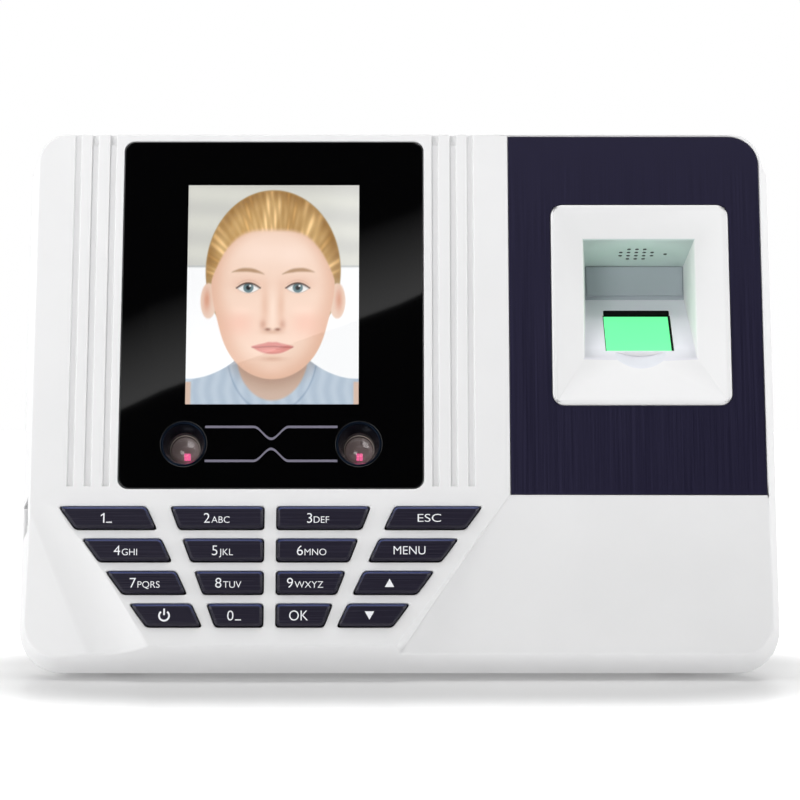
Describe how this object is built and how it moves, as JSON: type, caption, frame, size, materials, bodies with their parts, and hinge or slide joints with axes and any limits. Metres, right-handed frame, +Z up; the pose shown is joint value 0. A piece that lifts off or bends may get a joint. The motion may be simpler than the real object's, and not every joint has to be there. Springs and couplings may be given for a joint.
{
  "type": "fingerprint scanner terminal",
  "caption": "Wedge-shaped time terminal with a leaning face, a display with two cameras, a fan-shaped keypad, a finger well with a lit sensor window, and a hook-on wall bracket.",
  "frame": {"origin": "on the surface that the terminal stands on, under the middle of its box", "axes": "+X to the right of someone who faces the terminal, +Y towards its back and the wall, +Z up"},
  "size_m": [0.19, 0.0606, 0.1364],
  "materials": {
    "case_white": "fine spark texture",
    "display_black": "polished, back-printed",
    "black_plastic": "moulded",
    "foam_tape": "matt",
    "lcd": "lit screen",
    "steel": "zinc plated",
    "lens": "coated lens",
    "circuit_board": "solder mask",
    "led_clear": "clear epoxy",
    "navy_plate": "vertically brushed, dark anodised",
    "grey_plastic": "moulded",
    "sensor_green": "lit green from within",
    "key_navy": "brushed along the rows",
    "silicone": "translucent",
    "battery_wrap": "shrink film",
    "ribbon_film": "polyimide film",
    "rubber": "matt"
  },
  "bodies": {
    "terminal": {"front_shell": "case_white", "rear_shell": "case_white", "finger_well": "case_white", "display_glass": "display_black", "display_carrier": "black_plastic", "camera_hood_left": "black_plastic", "camera_hood_right": "black_plastic", "camera_barrel_left": "black_plastic", "camera_barrel_right": "black_plastic", "sensor_housing": "black_plastic", "speaker": "black_plastic", "cell_holder": "black_plastic", "dc_jack": "black_plastic", "board_chips": "black_plastic", "glass_tape": "foam_tape", "lcd_panel": "lcd", "lcd_frame": "steel", "coin_cell": "steel", "usb_port": "steel", "case_screws": "steel", "board_screws": "steel", "carrier_screws": "steel", "microphone": "steel", "camera_lens_left": "lens", "camera_lens_right": "lens", "camera_board": "circuit_board", "sensor_board": "circuit_board", "keypad_board": "circuit_board", "main_board": "circuit_board", "infrared_leds": "led_clear", "sensor_plate": "navy_plate", "well_panel": "grey_plastic", "sensor_prism": "sensor_green", "key_mat": "silicone", "battery_pack": "battery_wrap", "lcd_flex": "ribbon_film", "keypad_ribbon": "ribbon_film", "sensor_ribbon": "ribbon_film", "camera_ribbon": "ribbon_film", "rubber_feet": "rubber"},
    "key_1": {"key_1": "key_navy"},
    "key_2": {"key_2": "key_navy"},
    "key_3": {"key_3": "key_navy"},
    "key_esc": {"key_esc": "key_navy"},
    "key_4": {"key_4": "key_navy"},
    "key_5": {"key_5": "key_navy"},
    "key_6": {"key_6": "key_navy"},
    "key_menu": {"key_menu": "key_navy"},
    "key_7": {"key_7": "key_navy"},
    "key_8": {"key_8": "key_navy"},
    "key_9": {"key_9": "key_navy"},
    "key_up": {"key_up": "key_navy"},
    "key_power": {"key_power": "key_navy"},
    "key_0": {"key_0": "key_navy"},
    "key_ok": {"key_ok": "key_navy"},
    "key_down": {"key_down": "key_navy"},
    "bracket": {"wall_bracket": "steel"}
  },
  "joints": [
    {"name": "key_1_press", "type": "slide", "parent": "terminal", "child": "key_1", "axis": [0, 0.9703, -0.2419], "range_m": [0, 0.001], "stiffness_N_per_m": 700},
    {"name": "key_2_press", "type": "slide", "parent": "terminal", "child": "key_2", "axis": [0, 0.9703, -0.2419], "range_m": [0, 0.001], "stiffness_N_per_m": 700},
    {"name": "key_3_press", "type": "slide", "parent": "terminal", "child": "key_3", "axis": [0, 0.9703, -0.2419], "range_m": [0, 0.001], "stiffness_N_per_m": 700},
    {"name": "key_esc_press", "type": "slide", "parent": "terminal", "child": "key_esc", "axis": [0, 0.9703, -0.2419], "range_m": [0, 0.001], "stiffness_N_per_m": 700},
    {"name": "key_4_press", "type": "slide", "parent": "terminal", "child": "key_4", "axis": [0, 0.9703, -0.2419], "range_m": [0, 0.001], "stiffness_N_per_m": 700},
    {"name": "key_5_press", "type": "slide", "parent": "terminal", "child": "key_5", "axis": [0, 0.9703, -0.2419], "range_m": [0, 0.001], "stiffness_N_per_m": 700},
    {"name": "key_6_press", "type": "slide", "parent": "terminal", "child": "key_6", "axis": [0, 0.9703, -0.2419], "range_m": [0, 0.001], "stiffness_N_per_m": 700},
    {"name": "key_menu_press", "type": "slide", "parent": "terminal", "child": "key_menu", "axis": [0, 0.9703, -0.2419], "range_m": [0, 0.001], "stiffness_N_per_m": 700},
    {"name": "key_7_press", "type": "slide", "parent": "terminal", "child": "key_7", "axis": [0, 0.9703, -0.2419], "range_m": [0, 0.001], "stiffness_N_per_m": 700},
    {"name": "key_8_press", "type": "slide", "parent": "terminal", "child": "key_8", "axis": [0, 0.9703, -0.2419], "range_m": [0, 0.001], "stiffness_N_per_m": 700},
    {"name": "key_9_press", "type": "slide", "parent": "terminal", "child": "key_9", "axis": [0, 0.9703, -0.2419], "range_m": [0, 0.001], "stiffness_N_per_m": 700},
    {"name": "key_up_press", "type": "slide", "parent": "terminal", "child": "key_up", "axis": [0, 0.9703, -0.2419], "range_m": [0, 0.001], "stiffness_N_per_m": 700},
    {"name": "key_power_press", "type": "slide", "parent": "terminal", "child": "key_power", "axis": [0, 0.9703, -0.2419], "range_m": [0, 0.001], "stiffness_N_per_m": 700},
    {"name": "key_0_press", "type": "slide", "parent": "terminal", "child": "key_0", "axis": [0, 0.9703, -0.2419], "range_m": [0, 0.001], "stiffness_N_per_m": 700},
    {"name": "key_ok_press", "type": "slide", "parent": "terminal", "child": "key_ok", "axis": [0, 0.9703, -0.2419], "range_m": [0, 0.001], "stiffness_N_per_m": 700},
    {"name": "key_down_press", "type": "slide", "parent": "terminal", "child": "key_down", "axis": [0, 0.9703, -0.2419], "range_m": [0, 0.001], "stiffness_N_per_m": 700},
    {"name": "bracket_unhook", "type": "slide", "parent": "terminal", "child": "bracket", "axis": [0, 0, -1], "range_m": [0, 0.0085]}
  ]
}
